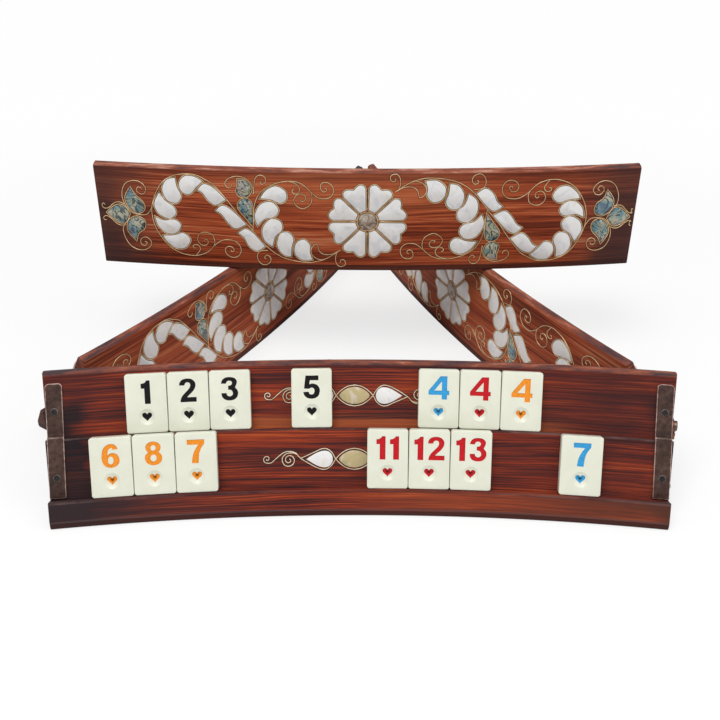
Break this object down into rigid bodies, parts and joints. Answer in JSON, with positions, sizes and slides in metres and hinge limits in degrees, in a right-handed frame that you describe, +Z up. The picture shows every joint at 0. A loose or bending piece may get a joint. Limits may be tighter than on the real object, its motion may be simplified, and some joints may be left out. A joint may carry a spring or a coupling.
{
  "type": "rummy tile rack set",
  "caption": "Curved two-tier wooden tile racks with pearl-inlaid backs, copper end bars and swing hooks, set out as a game table with numbered tiles on the front rack.",
  "frame": {"origin": "bottom centre of the whole set's bounding box, on the table", "axes": "+Z up; -Y towards the player of the front rack; +X to that player's right"},
  "size_m": [0.4612, 0.4602, 0.1595],
  "materials": {
    "rosewood": "high gloss lacquer over dark-streaked reddish brown wood",
    "antique_copper": "aged copper, lighter on worn edges",
    "dark_steel": "blackened",
    "copper_hook": "reddish, satin",
    "bronze_screw": "aged, satin",
    "mother_of_pearl": "polished shell, near white",
    "abalone": "polished shell, blue-green with dark swirls",
    "ivory_tile": "smooth, softly glossy"
  },
  "bodies": {
    "front_rack_body": {"front_rack": "rosewood", "front_left_bar": "antique_copper", "front_right_bar": "antique_copper", "front_bar_screws": "dark_steel", "front_hook_screw": "bronze_screw", "front_keeper_pin": "bronze_screw", "front_pearl_inlay": "mother_of_pearl", "front_abalone_inlay": "abalone"},
    "front_hook_body": {"front_hook": "copper_hook"},
    "left_rack_body": {"left_rack": "rosewood", "left_left_bar": "antique_copper", "left_right_bar": "antique_copper", "left_bar_screws": "dark_steel", "left_hook_screw": "bronze_screw", "left_keeper_pin": "bronze_screw", "left_pearl_inlay": "mother_of_pearl", "left_abalone_inlay": "abalone"},
    "left_hook_body": {"left_hook": "copper_hook"},
    "right_rack_body": {"right_rack": "rosewood", "right_left_bar": "antique_copper", "right_right_bar": "antique_copper", "right_bar_screws": "dark_steel", "right_hook_screw": "bronze_screw", "right_keeper_pin": "bronze_screw", "right_pearl_inlay": "mother_of_pearl", "right_abalone_inlay": "abalone"},
    "right_hook_body": {"right_hook": "copper_hook"},
    "bridge_rack_body": {"bridge_rack": "rosewood", "bridge_left_bar": "antique_copper", "bridge_right_bar": "antique_copper", "bridge_bar_screws": "dark_steel", "bridge_hook_screw": "bronze_screw", "bridge_keeper_pin": "bronze_screw", "bridge_pearl_inlay": "mother_of_pearl", "bridge_abalone_inlay": "abalone"},
    "bridge_hook_body": {"bridge_hook": "copper_hook"},
    "tile_1_black": {"tile_1_black": "ivory_tile"},
    "tile_2_black": {"tile_2_black": "ivory_tile"},
    "tile_3_black": {"tile_3_black": "ivory_tile"},
    "tile_5_black": {"tile_5_black": "ivory_tile"},
    "tile_4_blue": {"tile_4_blue": "ivory_tile"},
    "tile_4_red": {"tile_4_red": "ivory_tile"},
    "tile_4_orange": {"tile_4_orange": "ivory_tile"},
    "tile_6_orange": {"tile_6_orange": "ivory_tile"},
    "tile_8_orange": {"tile_8_orange": "ivory_tile"},
    "tile_7_orange": {"tile_7_orange": "ivory_tile"},
    "tile_11_red": {"tile_11_red": "ivory_tile"},
    "tile_12_red": {"tile_12_red": "ivory_tile"},
    "tile_13_red": {"tile_13_red": "ivory_tile"},
    "tile_7_blue": {"tile_7_blue": "ivory_tile"}
  },
  "joints": [
    {"name": "left_rack_lift", "type": "slide", "parent": "front_rack_body", "child": "left_rack_body", "axis": [0, 0, 1], "range_m": [0, 0.05]},
    {"name": "bridge_rack_lift", "type": "slide", "parent": "left_rack_body", "child": "bridge_rack_body", "axis": [0, 0, 1], "range_m": [0, 0.06]},
    {"name": "right_rack_pull", "type": "slide", "parent": "front_rack_body", "child": "right_rack_body", "axis": [0.915, 0.4035, 0], "range_m": [0, 0.04]},
    {"name": "front_hook_swing", "type": "hinge", "parent": "front_rack_body", "child": "front_hook_body", "pos_m": [0.20357, -0.17964, 0.0455], "axis": [-0.9897, 0.1434, 0], "range_deg": [0, 160]},
    {"name": "left_hook_swing", "type": "hinge", "parent": "left_rack_body", "child": "left_hook_body", "pos_m": [-0.18891, -0.14684, 0.0455], "axis": [0.577, 0.8167, 0], "range_deg": [0, 160]},
    {"name": "right_hook_swing", "type": "hinge", "parent": "right_rack_body", "child": "right_hook_body", "pos_m": [0.025, 0.21643, 0.0455], "axis": [0.2682, -0.9634, 0], "range_deg": [0, 160]},
    {"name": "bridge_hook_swing", "type": "hinge", "parent": "bridge_rack_body", "child": "bridge_hook_body", "pos_m": [-0.19301, 0.00729, 0.12537], "axis": [0.9889, -0.1485, 0], "range_deg": [0, 160]},
    {"name": "tile_1_black_lift", "type": "slide", "parent": "front_rack_body", "child": "tile_1_black", "axis": [0, 0, 1], "range_m": [0, 0.045]},
    {"name": "tile_2_black_lift", "type": "slide", "parent": "front_rack_body", "child": "tile_2_black", "axis": [0, 0, 1], "range_m": [0, 0.045]},
    {"name": "tile_3_black_lift", "type": "slide", "parent": "front_rack_body", "child": "tile_3_black", "axis": [0, 0, 1], "range_m": [0, 0.045]},
    {"name": "tile_5_black_lift", "type": "slide", "parent": "front_rack_body", "child": "tile_5_black", "axis": [0, 0, 1], "range_m": [0, 0.045]},
    {"name": "tile_4_blue_lift", "type": "slide", "parent": "front_rack_body", "child": "tile_4_blue", "axis": [0, 0, 1], "range_m": [0, 0.045]},
    {"name": "tile_4_red_lift", "type": "slide", "parent": "front_rack_body", "child": "tile_4_red", "axis": [0, 0, 1], "range_m": [0, 0.045]},
    {"name": "tile_4_orange_lift", "type": "slide", "parent": "front_rack_body", "child": "tile_4_orange", "axis": [0, 0, 1], "range_m": [0, 0.045]},
    {"name": "tile_6_orange_lift", "type": "slide", "parent": "front_rack_body", "child": "tile_6_orange", "axis": [0, 0, 1], "range_m": [0, 0.045]},
    {"name": "tile_8_orange_lift", "type": "slide", "parent": "front_rack_body", "child": "tile_8_orange", "axis": [0, 0, 1], "range_m": [0, 0.045]},
    {"name": "tile_7_orange_lift", "type": "slide", "parent": "front_rack_body", "child": "tile_7_orange", "axis": [0, 0, 1], "range_m": [0, 0.045]},
    {"name": "tile_11_red_lift", "type": "slide", "parent": "front_rack_body", "child": "tile_11_red", "axis": [0, 0, 1], "range_m": [0, 0.045]},
    {"name": "tile_12_red_lift", "type": "slide", "parent": "front_rack_body", "child": "tile_12_red", "axis": [0, 0, 1], "range_m": [0, 0.045]},
    {"name": "tile_13_red_lift", "type": "slide", "parent": "front_rack_body", "child": "tile_13_red", "axis": [0, 0, 1], "range_m": [0, 0.045]},
    {"name": "tile_7_blue_lift", "type": "slide", "parent": "front_rack_body", "child": "tile_7_blue", "axis": [0, 0, 1], "range_m": [0, 0.045]}
  ]
}
